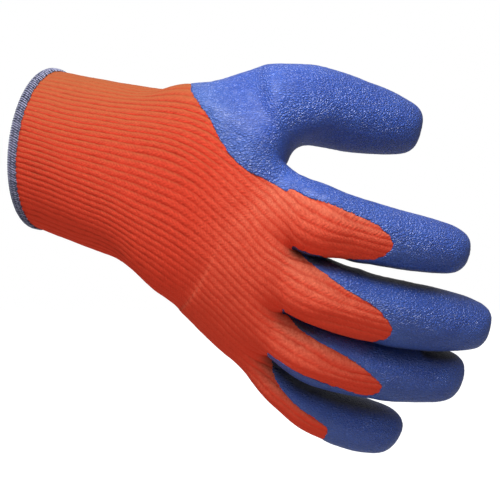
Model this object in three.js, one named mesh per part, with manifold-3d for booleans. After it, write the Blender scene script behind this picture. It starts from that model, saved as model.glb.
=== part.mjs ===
// Thermal work glove, right hand, shown filled as worn with nothing in it.
// Millimetres, +Z up. +X runs from the cuff towards the fingers, the thumb is on
// the +Z side and the back of the hand faces -Y. The origin is the centre of the
// wrist opening.
import * as THREE from 'three';
import Module from 'manifold-3d';
import { mergeVertices } from 'three/examples/jsm/utils/BufferGeometryUtils.js';

// ---- driving dimensions (mm) -------------------------------------------------
const KNIT_WALL = 2.4;        // thickness of the knitted liner
const COAT_WALL = 1.05;       // thickness of the latex dip
const PIECE_GAP = 0.3;        // clearance between neighbouring pieces
const KNIT_OUT = -0.65;       // liner's outer face against the measured outline
const HEM_WIDTH = 4.8;        // overlocked edge, measured along the cuff
const HEM_THICK = 3.4;        // overlocked edge, across the cloth
const HAND_COLUMNS = 28;      // facets round the hand
const DIGIT_COLUMNS = 12;     // facets round a finger
const HAND_ROWS = 11;
const DIGIT_ROWS = 6;
const TIP_ROWS = 2;

// Sections of the hand from the wrist opening to the finger roots. ulna and radius
// are the two edge points, arch is how far the back rises over the line between
// them, back and palm are the half depths and square is the roundness exponent.
const HAND = [
  { ulna: [-2.5, 0.0, -38.3], radius: [2.5, 0.0, 38.3], arch: 0, back: 31.0, palm: 31.0, square: 2.0 },
  { ulna: [19.8, -16.0, -46.9], radius: [28.3, -16.0, 34.1], arch: 0, back: 29.0, palm: 29.0, square: 2.0 },
  { ulna: [37.6, -28.0, -54.8], radius: [56.5, -33.0, 28.5], arch: 0, back: 25.0, palm: 25.0, square: 2.1 },
  { ulna: [46.7, -28.9, -60.8], radius: [68.1, -39.0, 26.0], arch: 5, back: 21.9, palm: 23.4, square: 2.2 },
  { ulna: [54.0, -28.0, -66.4], radius: [83.0, -46.0, 18.0], arch: 8, back: 19.0, palm: 22.0, square: 2.3 },
  { ulna: [60.1, -26.7, -71.3], radius: [101.0, -55.8, 1.5], arch: 7, back: 17.4, palm: 20.4, square: 2.35 },
  { ulna: [65.4, -25.0, -76.5], radius: [115.9, -60.0, -10.3], arch: 7, back: 16.5, palm: 19.0, square: 2.4 },
  { ulna: [83.6, -22.0, -95.8], radius: [122.4, -65.0, -14.3], arch: 10, back: 15.5, palm: 17.5, square: 2.4 },
  { ulna: [100.0, -20.0, -112.4], radius: [127.0, -67.8, -17.1], arch: 13, back: 14.5, palm: 15.5, square: 2.4 },
];
const ROOT_ROUND = 6;         // rounding past the last section, between the fingers

// Sections of the digits from inside the hand to where the tip begins to round.
const DIGITS = {
  thumb: { tip: 11.0, cutAt: 0.36, sections: [
    { at: [60, -37.0, 5.0], halfWidth: 12, halfDepth: 13.0, roll: 10 },
    { at: [82, -45.0, 11.5], halfWidth: 24.0, halfDepth: 19.0, roll: 10 },
    { at: [106.5, -48.0, 17.8], halfWidth: 23.4, halfDepth: 18.6, roll: 10 },
    { at: [126.8, -43.0, 20.6], halfWidth: 19.4, halfDepth: 17.0, roll: 10 },
    { at: [139.0, -40.0, 18.7], halfWidth: 18.7, halfDepth: 16.5, roll: 10 },
    { at: [153.9, -34.0, 15.5], halfWidth: 17.4, halfDepth: 16.0, roll: 10 },
    { at: [166.5, -28.0, 13.6], halfWidth: 15.6, halfDepth: 15.0, roll: 10 },
    { at: [174.2, -25.0, 12.5], halfWidth: 14.2, halfDepth: 14.0, roll: 10 } ] },
  index: { tip: 9.0, cutAt: 0.30, sections: [
    { at: [108.0, -59.0, -28.0], halfWidth: 10.0, halfDepth: 10.5, roll: 14 },
    { at: [124.2, -64.0, -32.4], halfWidth: 15.4, halfDepth: 14.6, roll: 14 },
    { at: [137.8, -65.5, -36.8], halfWidth: 16.2, halfDepth: 15.0, roll: 14 },
    { at: [151.9, -64.0, -40.1], halfWidth: 14.8, halfDepth: 14.6, roll: 16 },
    { at: [168.7, -60.0, -43.7], halfWidth: 13.8, halfDepth: 14.2, roll: 18 },
    { at: [185.8, -54.0, -47.3], halfWidth: 12.8, halfDepth: 13.6, roll: 18 },
    { at: [196.8, -49.0, -49.2], halfWidth: 11.6, halfDepth: 13.0, roll: 18 } ] },
  middle: { tip: 9.5, cutAt: 0.28, sections: [
    { at: [104.0, -54.0, -48.5], halfWidth: 10.5, halfDepth: 10.5, roll: 18 },
    { at: [118.8, -56.5, -62.5], halfWidth: 15.8, halfDepth: 15.0, roll: 18 },
    { at: [135.8, -57.5, -70.4], halfWidth: 15.9, halfDepth: 15.0, roll: 18 },
    { at: [152.5, -55.0, -75.9], halfWidth: 15.6, halfDepth: 14.8, roll: 20 },
    { at: [171.9, -50.0, -80.1], halfWidth: 15.4, halfDepth: 14.4, roll: 22 },
    { at: [191.8, -43.0, -83.0], halfWidth: 14.4, halfDepth: 13.8, roll: 22 },
    { at: [207.0, -37.0, -85.0], halfWidth: 12.6, halfDepth: 13.0, roll: 22 } ] },
  ring: { tip: 10.0, cutAt: 0.30, sections: [
    { at: [96.0, -43.5, -71.5], halfWidth: 10.0, halfDepth: 10.0, roll: 30 },
    { at: [113.0, -45.4, -88.2], halfWidth: 13.6, halfDepth: 14.6, roll: 30 },
    { at: [126.7, -45.5, -95.8], halfWidth: 14.3, halfDepth: 14.4, roll: 30 },
    { at: [141.3, -42.0, -101.4], halfWidth: 14.2, halfDepth: 14.4, roll: 32 },
    { at: [160.9, -36.5, -106.4], halfWidth: 14.3, halfDepth: 14.0, roll: 32 },
    { at: [180.9, -29.5, -109.2], halfWidth: 14.2, halfDepth: 13.6, roll: 32 },
    { at: [194.7, -24.5, -110.6], halfWidth: 13.2, halfDepth: 13.0, roll: 32 } ] },
  little: { tip: 10.0, cutAt: 0.32, sections: [
    { at: [88.0, -32.0, -87.0], halfWidth: 8.5, halfDepth: 9.0, roll: 42 },
    { at: [106.0, -28.5, -106.5], halfWidth: 12.4, halfDepth: 13.4, roll: 42 },
    { at: [118.5, -26.5, -117.0], halfWidth: 12.4, halfDepth: 13.4, roll: 42 },
    { at: [129.8, -24.0, -125.2], halfWidth: 12.4, halfDepth: 13.2, roll: 42 },
    { at: [142.3, -19.5, -131.6], halfWidth: 12.6, halfDepth: 13.0, roll: 42 },
    { at: [156.0, -14.5, -136.1], halfWidth: 12.9, halfDepth: 12.6, roll: 40 },
    { at: [165.3, -10.5, -138.1], halfWidth: 12.4, halfDepth: 12.0, roll: 40 } ] },
};

// Edge of the latex on the back of the hand, as outlines seen from the back (x, z).
// Inside them the knit is bare in front of the depth y = at + slope * (z - from),
// which follows the middle of the hand's thickness.
const BARE = {
  hand: { at: -44, slope: -0.48, from: -40, outline: [[-30, 60], [72.1, 60], [72.1, 25.0], [81.5, 12.3], [91.0, -4.7],
    [105.1, -15.0], [123.9, -22.6], [122.0, -47.5], [118, -78], [110, -98], [117, -118], [128, -136], [124, -146], [60, -120], [-30, -70]] },
  index: { at: -62, slope: 0, from: 0, outline: [[112, -19], [123.9, -22.6], [141.7, -30.1], [155.4, -36.1], [162.3, -41.6],
    [166.0, -46.5], [162.3, -51.0], [150.8, -53.6], [132.5, -52.0], [112, -47]] },
  middle: { at: -54, slope: 0, from: 0, outline: [[112, -50], [123.6, -53.6], [142.2, -65.7], [156.2, -74.5], [163.8, -82.0],
    [165.6, -87.0], [160.8, -91.2], [146.9, -90.4], [128.3, -84.8], [110, -77]] },
  ring: { at: -42, slope: 0, from: 0, outline: [[108, -77], [119.3, -83.4], [138.1, -95.7], [152.3, -105.1], [160.5, -111.5],
    [157.0, -116.4], [142.9, -114.0], [124.0, -108.4], [104, -96]] },
};
// Edge of the latex round the wrist and the palm, cut right through (x, z).
const CUFF_BARE = [[-60, 80], [70.5, 80], [70.5, 25], [68, -2], [62, -32], [54, -62], [48, -90], [-60, -90]];

// ---- geometry helpers --------------------------------------------------------
const wasm = await Module();
wasm.setup();
const vec = (a) => new THREE.Vector3(...a);
const lerp = THREE.MathUtils.lerp;

function toSolid(geometry) {
  const g = geometry.clone();
  for (const name of Object.keys(g.attributes)) if (name !== 'position') g.deleteAttribute(name);
  const merged = mergeVertices(g, 1e-4);
  return new wasm.Manifold(new wasm.Mesh({
    numProp: 3,
    vertProperties: new Float32Array(merged.attributes.position.array),
    triVerts: new Uint32Array(merged.index.array),
  }));
}

function toGeometry(solid) {
  const mesh = solid.getMesh();
  const g = new THREE.BufferGeometry();
  const n = mesh.vertProperties.length / mesh.numProp;
  const pos = new Float32Array(n * 3);
  for (let i = 0; i < n; i++) for (let k = 0; k < 3; k++) pos[i * 3 + k] = mesh.vertProperties[i * mesh.numProp + k];
  g.setAttribute('position', new THREE.BufferAttribute(pos, 3));
  g.setIndex(new THREE.BufferAttribute(new Uint32Array(mesh.triVerts), 1));
  g.computeVertexNormals();
  return g;
}

// Skin through closed rings of points, capped at both ends.
function skin(rings) {
  const n = rings[0].length;
  const pos = rings.flat().flatMap((p) => [p.x, p.y, p.z]);
  const index = [];
  for (let r = 0; r < rings.length - 1; r++) {
    for (let c = 0; c < n; c++) {
      const a = r * n + c, b = r * n + (c + 1) % n, d = a + n, e = b + n;
      index.push(a, b, e, a, e, d);
    }
  }
  for (const [ring, base, flip] of [[rings[0], 0, true], [rings.at(-1), (rings.length - 1) * n, false]]) {
    const mid = ring.reduce((s, p) => s.add(p), new THREE.Vector3()).multiplyScalar(1 / n);
    const centre = pos.length / 3;
    pos.push(mid.x, mid.y, mid.z);
    for (let c = 0; c < n; c++) {
      const a = base + c, b = base + (c + 1) % n;
      if (flip) index.push(centre, b, a); else index.push(centre, a, b);
    }
  }
  const g = new THREE.BufferGeometry();
  g.setAttribute('position', new THREE.Float32BufferAttribute(pos, 3));
  g.setIndex(index);
  return g;
}

function solidFromRings(rings) {
  const s = toSolid(skin(rings));
  if (s.volume() > 0) return s;
  return toSolid(skin(rings.map((r) => [...r].reverse())));
}

// ---- hand --------------------------------------------------------------------
const ulnaLine = new THREE.CatmullRomCurve3(HAND.map((s) => vec(s.ulna)), false, 'centripetal');
const radiusLine = new THREE.CatmullRomCurve3(HAND.map((s) => vec(s.radius)), false, 'centripetal');

function handValue(key, t) {
  const f = t * (HAND.length - 1), i = Math.min(Math.floor(f), HAND.length - 2);
  return lerp(HAND[i][key], HAND[i + 1][key], f - i);
}

// One ring of the hand at t from 0 (wrist) to 1 (finger roots), grown by offset.
function handRing(t, offset, shrink = 1, shift = 0) {
  const tc = THREE.MathUtils.clamp(t, 0, 1);
  const u = ulnaLine.getPoint(tc), r = radiusLine.getPoint(tc);
  const mid = u.clone().add(r).multiplyScalar(0.5);
  const t0 = Math.max(tc - 0.02, 0), t1 = Math.min(tc + 0.02, 1);
  const along = ulnaLine.getPoint(t1).add(radiusLine.getPoint(t1)).sub(ulnaLine.getPoint(t0)).sub(radiusLine.getPoint(t0)).normalize();
  const across = r.clone().sub(u).normalize();
  const back = new THREE.Vector3().crossVectors(across, along).normalize();
  if (back.y > 0) back.negate();
  const half = r.distanceTo(u) / 2 * (shrink + (1 - shrink) * 0.9) + offset;
  const arch = handValue('arch', tc), square = handValue('square', tc);
  const ring = [];
  for (let c = 0; c < HAND_COLUMNS; c++) {
    const phi = (c / HAND_COLUMNS) * Math.PI * 2;
    const x = Math.cos(phi), s = Math.sin(phi);
    const depth = Math.max((s > 0 ? handValue('back', tc) : handValue('palm', tc)) * shrink + offset, 0.4);
    const h = depth * Math.sign(s) * Math.pow(Math.abs(s), 2 / square);
    ring.push(mid.clone().addScaledVector(across, x * half)
      .addScaledVector(back, arch * (1 - x * x) + h).addScaledVector(along, shift));
  }
  return ring;
}

function handSolid(offset, openEnd = 0) {
  const rings = [];
  if (openEnd) rings.push(handRing(0, offset, 1, -openEnd));
  for (let i = 0; i <= HAND_ROWS; i++) rings.push(handRing(i / HAND_ROWS, offset));
  rings.push(handRing(1, offset, 0.8, ROOT_ROUND * 0.6));
  rings.push(handRing(1, offset, 0.35, ROOT_ROUND + offset * 0.5));
  return solidFromRings(rings);
}

// ---- digits ------------------------------------------------------------------
function digitLines(d) {
  return {
    path: new THREE.CatmullRomCurve3(d.sections.map((s) => vec(s.at)), false, 'centripetal'),
    size: (t) => {
      const f = t * (d.sections.length - 1), i = Math.min(Math.floor(f), d.sections.length - 2), k = f - i;
      const a = d.sections[i], b = d.sections[i + 1];
      return [lerp(a.halfWidth, b.halfWidth, k), lerp(a.halfDepth, b.halfDepth, k), lerp(a.roll, b.roll, k)];
    },
  };
}

function digitFrame(lines, t) {
  const along = lines.path.getTangent(t);
  const back = new THREE.Vector3(0, -1, 0);
  back.addScaledVector(along, -back.dot(along)).normalize();
  const side = new THREE.Vector3().crossVectors(along, back);
  if (side.z < 0) side.negate();
  const roll = THREE.MathUtils.degToRad(lines.size(t)[2]);
  const u = side.clone().multiplyScalar(Math.cos(roll)).addScaledVector(back, Math.sin(roll));
  const v = new THREE.Vector3().crossVectors(u, along);
  if (v.y > 0) v.negate();
  return { along, u, v };
}

function digitSolid(d, offset, from = 0) {
  const lines = digitLines(d), rings = [];
  const ring = (t, scale, shift) => {
    const [w, h] = lines.size(t), f = digitFrame(lines, t), mid = lines.path.getPoint(t);
    const out = [];
    for (let c = 0; c < DIGIT_COLUMNS; c++) {
      const phi = (c / DIGIT_COLUMNS) * Math.PI * 2;
      out.push(mid.clone().addScaledVector(f.along, shift)
        .addScaledVector(f.u, Math.cos(phi) * (w + offset) * scale)
        .addScaledVector(f.v, Math.sin(phi) * (h + offset) * scale));
    }
    rings.push(out);
  };
  for (let i = 0; i <= DIGIT_ROWS; i++) ring(lerp(from, 1, i / DIGIT_ROWS), 1, 0);
  const reach = d.tip + offset;
  for (let i = 1; i <= TIP_ROWS; i++) {
    const a = (i / (TIP_ROWS + 0.45)) * Math.PI / 2;
    ring(1, Math.pow(Math.cos(a), 0.8), reach * Math.sin(a));
  }
  return solidFromRings(rings);
}

function glove(offset, openEnd = 0) {
  let s = handSolid(offset, openEnd);
  for (const d of Object.values(DIGITS)) s = s.add(digitSolid(d, offset));
  return s;
}

// A block over everything past a digit's root plane, shifted by a clearance.
function pastRoot(d, shift) {
  const lines = digitLines(d), f = digitFrame(lines, d.cutAt), p = lines.path.getPoint(d.cutAt);
  const size = 300;
  const box = new THREE.BoxGeometry(size, size, size);
  const m = new THREE.Matrix4().makeBasis(f.along, f.u, new THREE.Vector3().crossVectors(f.along, f.u));
  box.applyMatrix4(m);
  const c = p.clone().addScaledVector(f.along, size / 2 + shift);
  box.translate(c.x, c.y, c.z);
  return toSolid(box);
}

// Prism seen from the back, whose far side follows a sloping depth.
function backPrism({ outline, at, slope, from }) {
  const shape = new THREE.Shape(outline.map(([x, z]) => new THREE.Vector2(x, z)));
  const g = new THREE.ExtrudeGeometry(shape, { depth: 1, bevelEnabled: false, steps: 1 });
  const p = g.attributes.position;
  for (let i = 0; i < p.count; i++) {
    const x = p.getX(i), z = p.getY(i), far = p.getZ(i) < 0.5;
    p.setXYZ(i, x, far ? at + slope * (z - from) : -160, z);
  }
  return toSolid(g);
}

function throughPrism(outline) {
  const shape = new THREE.Shape(outline.map(([x, z]) => new THREE.Vector2(x, z)));
  const g = new THREE.ExtrudeGeometry(shape, { depth: 320, bevelEnabled: false });
  g.rotateX(Math.PI / 2);
  g.translate(0, 160, 0);
  return toSolid(g);
}

// ---- pieces ------------------------------------------------------------------
const KNIT_IN = KNIT_OUT - KNIT_WALL;
const COAT_IN = KNIT_OUT + PIECE_GAP, COAT_OUT = COAT_IN + COAT_WALL;

// liner, split where each knitted finger tube begins
const liner = glove(KNIT_OUT).subtract(glove(KNIT_IN, 8));
let hand = liner;
const tubes = {};
for (const [name, d] of Object.entries(DIGITS)) {
  const past = pastRoot(d, 0);
  tubes[name] = digitSolid(d, KNIT_OUT).subtract(digitSolid(d, KNIT_IN)).intersect(past);
  hand = hand.subtract(digitSolid(d, KNIT_OUT + 0.2).intersect(pastRoot(d, -PIECE_GAP)));
}

// hem: a rounded band that takes the place of the first millimetres of the cuff
function band(widthFrom, widthTo, outward, inward, round) {
  const profile = [
    [widthFrom, inward + round], [widthFrom, outward - round], [widthFrom + round, outward],
    [widthTo - round, outward], [widthTo, outward - round], [widthTo, inward + round],
    [widthTo - round, inward], [widthFrom + round, inward],
  ];
  const pos = [], index = [], n = profile.length;
  const loops = profile.map(([shift, offset]) => handRing(0, offset, 1, shift));
  for (let c = 0; c < HAND_COLUMNS; c++) for (let k = 0; k < n; k++) pos.push(...loops[k][c].toArray());
  for (let c = 0; c < HAND_COLUMNS; c++) {
    for (let k = 0; k < n; k++) {
      const a = c * n + k, b = c * n + (k + 1) % n;
      const d = ((c + 1) % HAND_COLUMNS) * n + k, e = ((c + 1) % HAND_COLUMNS) * n + (k + 1) % n;
      index.push(a, b, e, a, e, d);
    }
  }
  const g = new THREE.BufferGeometry();
  g.setAttribute('position', new THREE.Float32BufferAttribute(pos, 3));
  g.setIndex(index);
  let s = toSolid(g);
  if (s.volume() < 0) {
    g.setIndex(index.map((_, i) => index[i - (i % 3) + [0, 2, 1][i % 3]]));
    s = toSolid(g);
  }
  return s;
}
const hemMid = KNIT_OUT - KNIT_WALL / 2;
const hem = band(-HEM_WIDTH / 2, HEM_WIDTH / 2, hemMid + HEM_THICK / 2, hemMid - HEM_THICK / 2, 1.1);
hand = hand.subtract(band(-12, HEM_WIDTH / 2 + PIECE_GAP, 6, -10, 0.5));

// latex: a skin round palm, finger fronts, tips and thumb, bare on the back
let coat = glove(COAT_OUT).subtract(glove(COAT_IN));
coat = coat.subtract(throughPrism(CUFF_BARE));
for (const b of Object.values(BARE)) coat = coat.subtract(backPrism(b));

// keep only the largest body of a cut result
function main(solid) {
  const parts = solid.decompose().sort((a, b) => b.volume() - a.volume());
  return parts[0];
}

const materials = {
  knit: () => new THREE.MeshStandardMaterial({ color: 0xd8502c, roughness: 0.92, metalness: 0 }),
  latex: () => new THREE.MeshStandardMaterial({ color: 0x3c4f9c, roughness: 0.55, metalness: 0 }),
  hem: () => new THREE.MeshStandardMaterial({ color: 0x8792a6, roughness: 0.9, metalness: 0 }),
};

const group = new THREE.Group();
group.name = 'thermal_work_glove';
function piece(name, solid, material) {
  const mesh = new THREE.Mesh(toGeometry(main(solid)), material());
  mesh.name = name;
  group.add(mesh);
}
piece('knit_hand', hand, materials.knit);
for (const [name, tube] of Object.entries(tubes)) piece(`knit_${name}`, tube, materials.knit);
piece('latex_coating', coat, materials.latex);
piece('cuff_hem', hem, materials.hem);

export default group;
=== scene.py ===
"""Thermal work glove, right hand, filled as worn: knitted liner, latex dip and overlocked edge."""
import bpy, math
import numpy as np
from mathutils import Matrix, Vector
from mathutils.bvhtree import BVHTree


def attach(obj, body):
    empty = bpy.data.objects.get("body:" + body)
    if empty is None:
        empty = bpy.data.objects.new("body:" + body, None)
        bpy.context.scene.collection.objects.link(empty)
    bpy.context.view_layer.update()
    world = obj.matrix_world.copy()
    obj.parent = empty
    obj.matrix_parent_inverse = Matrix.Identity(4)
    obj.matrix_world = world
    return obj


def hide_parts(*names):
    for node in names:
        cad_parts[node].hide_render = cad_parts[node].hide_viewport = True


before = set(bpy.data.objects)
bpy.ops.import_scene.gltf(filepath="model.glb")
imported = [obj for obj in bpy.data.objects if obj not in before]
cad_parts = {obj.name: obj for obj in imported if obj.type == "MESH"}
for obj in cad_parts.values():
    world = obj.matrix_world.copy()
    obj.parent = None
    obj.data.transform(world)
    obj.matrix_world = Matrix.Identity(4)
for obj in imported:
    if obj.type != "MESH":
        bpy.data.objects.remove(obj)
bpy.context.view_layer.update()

# ---------------------------------------------------------------- camera numbers
# The glove's sections below are laid out in the camera's own projection, in
# picture units of a 500-wide frame plus a depth in millimetres behind the origin.
LENS_UNITS, CAM_Y, CAM_X, CAM_Z = 1667.0, -845.0, 100.37, -49.42


def to_mm(px, py, y):
    k = (y - CAM_Y) / LENS_UNITS
    return np.array([CAM_X + (px - 250) * k, y, CAM_Z + (250 - py) * k])


def to_px(p):
    k = (p[..., 1] - CAM_Y) / LENS_UNITS
    return np.stack([250 + (p[..., 0] - CAM_X) / k, 250 - (p[..., 2] - CAM_Z) / k], -1)


# ---------------------------------------------------------------- small maths
def unit(v):
    return v / np.maximum(np.linalg.norm(v, axis=-1, keepdims=True), 1e-9)


def smooth01(t):
    t = np.clip(t, 0, 1)
    return t * t * (3 - 2 * t)


def hermite(ts, ps, t):
    """Smooth curve through ps at ts, evaluated at t."""
    ts = np.asarray(ts, float)
    ps = np.asarray(ps, float)
    flat = ps.ndim == 1
    if flat:
        ps = ps[:, None]
    n = len(ts)
    h = ts[1:] - ts[:-1]
    d = (ps[1:] - ps[:-1]) / h[:, None]
    m = np.zeros_like(ps)
    for i in range(1, n - 1):
        m[i] = (h[i] * d[i - 1] + h[i - 1] * d[i]) / (h[i - 1] + h[i])
    m[0], m[-1] = d[0], d[-1]
    t = np.atleast_1d(np.asarray(t, float))
    i = np.clip(np.searchsorted(ts, t, side='right') - 1, 0, n - 2)
    u = ((t - ts[i]) / h[i])[:, None]
    hh = h[i][:, None]
    r = ((2 * u**3 - 3 * u**2 + 1) * ps[i] + (u**3 - 2 * u**2 + u) * hh * m[i]
         + (-2 * u**3 + 3 * u**2) * ps[i + 1] + (u**3 - u**2) * hh * m[i + 1])
    return r[:, 0] if flat else r


# ---------------------------------------------------------------- sections of the hand
# Six border lines run from the wrist opening to the finger roots: 0 on the little
# finger's edge, 1 to 3 to the crotches between fingers, 4 to the thumb's crotch and
# 5 on the thumb's edge. A row holds one (x, y, depth) per border.
def straight(top, bottom, ytop, ybot, fr=(0, .11, .35, .61, .84, 1)):
    return [(top[0] + (bottom[0] - top[0]) * f, top[1] + (bottom[1] - top[1]) * f, ytop + (ybot - ytop) * f) for f in fr[::-1]]


HAND = [
    straight((56, 70.5), (35, 226.5), 0, 0),
    straight((105, 79.6), (85, 246), -14, -14),
    [(123, 261.5, -28), (130, 239, -29), (138, 200, -30), (147, 147, -31), (156, 105, -32), (160, 88.5, -33)],
    [(158.5, 287, -28), (168, 260, -37), (183, 221, -43), (199, 157, -49), (204, 117, -49), (206, 89, -40)],
    [(183.5, 306, -25.5), (204, 286, -38), (227, 252, -48), (252, 203, -56), (285.5, 166, -60), (266.5, 64.5, -42)],
    [(219.5, 343.5, -24.5), (241, 320, -38), (258, 282, -50), (277, 228, -59), (297, 174, -65)],
    [(257.5, 371, -25), (274, 357, -38), (287, 312, -52), (299, 250, -61), (309, 180, -68)],
]
T_BACK = [30.0, 30.0, 25, 19, 16.5, 15.5, 14.5]      # half depth towards the back of the hand
T_PALM = [31, 29, 25, 22, 19, 17.5, 15.5]
SQUARE = [2.0, 2.0, 2.1, 2.3, 2.4, 2.4, 2.4]

# Digits past the finger roots: x, y, depth, half width (picture units), half depth (mm), roll (degrees)
DIG = {
    'index': [(316, 219.8, -67, 43.6, 15.4, 12), (334, 224.6, -66, 41.6, 15.0, 14), (360, 231.4, -64, 34.4, 14.6, 16), (395, 239.2, -60, 29.9, 14.2, 18), (430, 246.6, -54, 27.0, 13.6, 18), (451, 250.3, -49, 23.6, 13, 18)],
    'middle': [(318, 292.4, -58.5, 40.6, 15, 17), (336, 298.6, -57, 39.0, 15, 18), (360, 305.8, -55, 36.6, 14.8, 20), (400, 314.6, -50, 36.0, 14.4, 22), (440, 320.4, -43, 32.8, 13.8, 22), (470, 324.6, -37, 26.6, 13, 22)],
    'ring': [(305, 349.0, -46, 34.0, 14.6, 30), (335, 359.8, -43, 33.8, 14.6, 32), (375, 369.0, -38, 32.6, 14.2, 32), (415, 373.0, -31, 31.4, 13.6, 32), (442, 375.0, -26, 28.4, 13, 32)],
    'little': [(289, 386.0, -28, 20.0, 13.4, 42), (310, 403.6, -26, 24.6, 13.4, 42), (335, 415.8, -22, 26.2, 13.2, 42), (362, 424.3, -17, 27.6, 12.8, 40), (380, 428.2, -13, 25.4, 12, 40)],
    'thumb': [(293, 102.8, -43, 41.8, 17, 10), (308, 104.8, -43, 41.4, 17, 10), (330, 109.6, -40, 40.2, 16.5, 10), (360, 117.6, -34, 37.0, 16, 10), (385, 123.2, -28, 32.6, 15, 10), (399, 126.6, -25, 28.6, 14, 10)],
}
TIP = {'index': 7.8, 'middle': 9.0, 'ring': 9.8, 'little': 9.6, 'thumb': 10.4}
WALES = {'little': 7, 'ring': 7, 'middle': 8, 'index': 8, 'thumb': 6}
ORDER = ['little', 'ring', 'middle', 'index', 'thumb']
WALE_PITCH = 3.4
CROTCH_L = {'d': 21.0, 'p': 12.0}
THUMB_L = {'d': 8.0, 'p': 18.0}
GAP = 0.9
SUB = 2                       # mesh columns to a wale before subdivision
TOTAL_WALES = float(sum(WALES.values()))
ROW = 3.6                     # mesh row spacing before subdivision

G = [[to_mm(*g) for g in st] for st in HAND]


def border(k, s):
    n = len([st for st in G if len(st) > k])
    return hermite(np.arange(n), np.array([G[j][k] for j in range(n)]), s)


def pinch(d, L):
    t = np.clip(1 - d / L, 0, 1)
    return 1 - np.sqrt(np.maximum(1 - t * t, 0))


def mid_rows(s, xs):
    s = np.atleast_1d(s)
    B = np.stack([border(k, np.minimum(s, 4) if k == 5 else s) for k in range(6)], 1)
    out = np.zeros((len(s), len(xs), 3))
    for r in range(len(s)):
        six = hermite(np.arange(6), B[r], xs)
        five = hermite(np.arange(5), B[r][:5], np.minimum(xs, 4))
        w = smooth01((s[r] - 2.6) / 1.4)
        strt = B[r][4] + (B[r][5] - B[r][4]) * np.clip(xs - 4, 0, 1)[:, None]
        alt = np.where((xs <= 4)[:, None], five, strt)
        m = six * (1 - w) + alt * w
        w2 = smooth01((s[r] - 5) / 1)
        i = np.clip(np.floor(xs).astype(int), 0, 4)
        q = (xs - i)[:, None]
        lin = B[r][i] * (1 - q) + B[r][np.minimum(i + 1, 5)] * q
        lin = np.where((xs <= 4)[:, None], lin, m)
        out[r] = m * (1 - w2) + lin * w2
    return out


def lenpos(P):
    d = np.linalg.norm(np.diff(P, axis=0), axis=1)
    c = np.concatenate([[0], np.cumsum(d)])
    return c / c[-1], c[-1]


def resample(P, f):
    c, _ = lenpos(P)
    return np.stack([np.interp(f, c, P[:, a]) for a in range(3)], 1)


def hand_zone(s_rows, fr, sub=16):
    q = (1 - np.cos(np.linspace(0, np.pi, sub + 1))) / 2
    xs = np.concatenate([i + q[:-1] for i in range(5)] + [[5.0]])
    M = mid_rows(s_rows, xs)
    ds = 0.02
    along = mid_rows(np.clip(s_rows + ds, 0, 6), xs) - mid_rows(np.clip(s_rows - ds, 0, 6), xs)
    across = np.gradient(M, axis=1)
    for r in range(len(s_rows)):
        if s_rows[r] > 4:
            k = 4 * sub
            across[r, k] = M[r, k] - M[r, k - 1]
    Nn = unit(np.cross(across, along))
    if Nn[len(s_rows) // 3, len(xs) // 2, 1] > 0:
        Nn = -Nn
    st = np.arange(7)
    td, tp, ne = hermite(st, T_BACK, s_rows), hermite(st, T_PALM, s_rows), hermite(st, SQUARE, s_rows)
    fine = np.linspace(0, 6, 601)
    dist = {}
    for k in (1, 2, 3):
        Pk = border(k, fine)
        c = np.concatenate([[0], np.cumsum(np.linalg.norm(np.diff(Pk, axis=0), axis=1))])
        dist[k] = np.interp(6, fine, c) - np.interp(s_rows, fine, c)
    P4 = border(4, fine)
    c = np.concatenate([[0], np.cumsum(np.linalg.norm(np.diff(P4, axis=0), axis=1))])
    dist[4] = np.interp(4, fine, c) - np.interp(np.minimum(s_rows, 4), fine, c)
    out = {d: {'d': [], 'p': []} for d in ORDER}
    for r, s in enumerate(s_rows):
        last = 5 if s <= 4 else 4
        use = xs <= last
        m = M[r][use]
        x = xs[use]
        xi = lenpos(m)[0]
        m4 = M[r][xs <= 4]
        xi4 = np.concatenate([lenpos(m4)[0], np.ones(use.sum() - len(m4))])
        for side, T, sg in (('d', td[r], 1), ('p', tp[r], -1)):
            env = lambda z: T * np.maximum(1 - np.abs(2 * z - 1)**ne[r], 0)**(1 / ne[r])
            h = env(xi)
            k4 = pinch(dist[4][r], THUMB_L[side]) if s <= 4 else 1.0
            h4 = env(xi4)
            tt = DIG['thumb'][0][4]
            hT = tt * 1.1 * np.sqrt(np.maximum(1 - (2 * (x - 4) - 1)**2, 0))
            hs = np.where(x <= 4, h4, hT)
            h = h * (1 - k4) + hs * k4
            kk = np.zeros(6)
            for k in (1, 2, 3):
                kk[k] = pinch(dist[k][r], CROTCH_L[side])
            i = np.clip(np.floor(x).astype(int), 0, 4)
            qq = x - i
            kl, kr = kk[i], kk[np.minimum(i + 1, 5)]
            kl = np.where(i == 0, kk[1], kl)
            kr = np.where(i == 3, kk[3], kr)
            kap = np.where(i < 4, kl * (1 - qq) + kr * qq, 0)
            ti = np.array([DIG[d][0][4] for d in ORDER])[i]
            hd = ti * np.sqrt(np.maximum(1 - (2 * qq - 1)**2, 0))
            h = h * (1 - kap) + hd * kap
            P = m + sg * Nn[r][use] * h[:, None]
            for n, d in enumerate(ORDER):
                if n == 4 and s > 4:
                    continue
                seg = P[(x >= n - 1e-9) & (x <= n + 1 + 1e-9)]
                out[d][side].append(resample(seg, fr[d]))
    return {d: {k: np.array(v) for k, v in o.items()} for d, o in out.items()}


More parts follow.
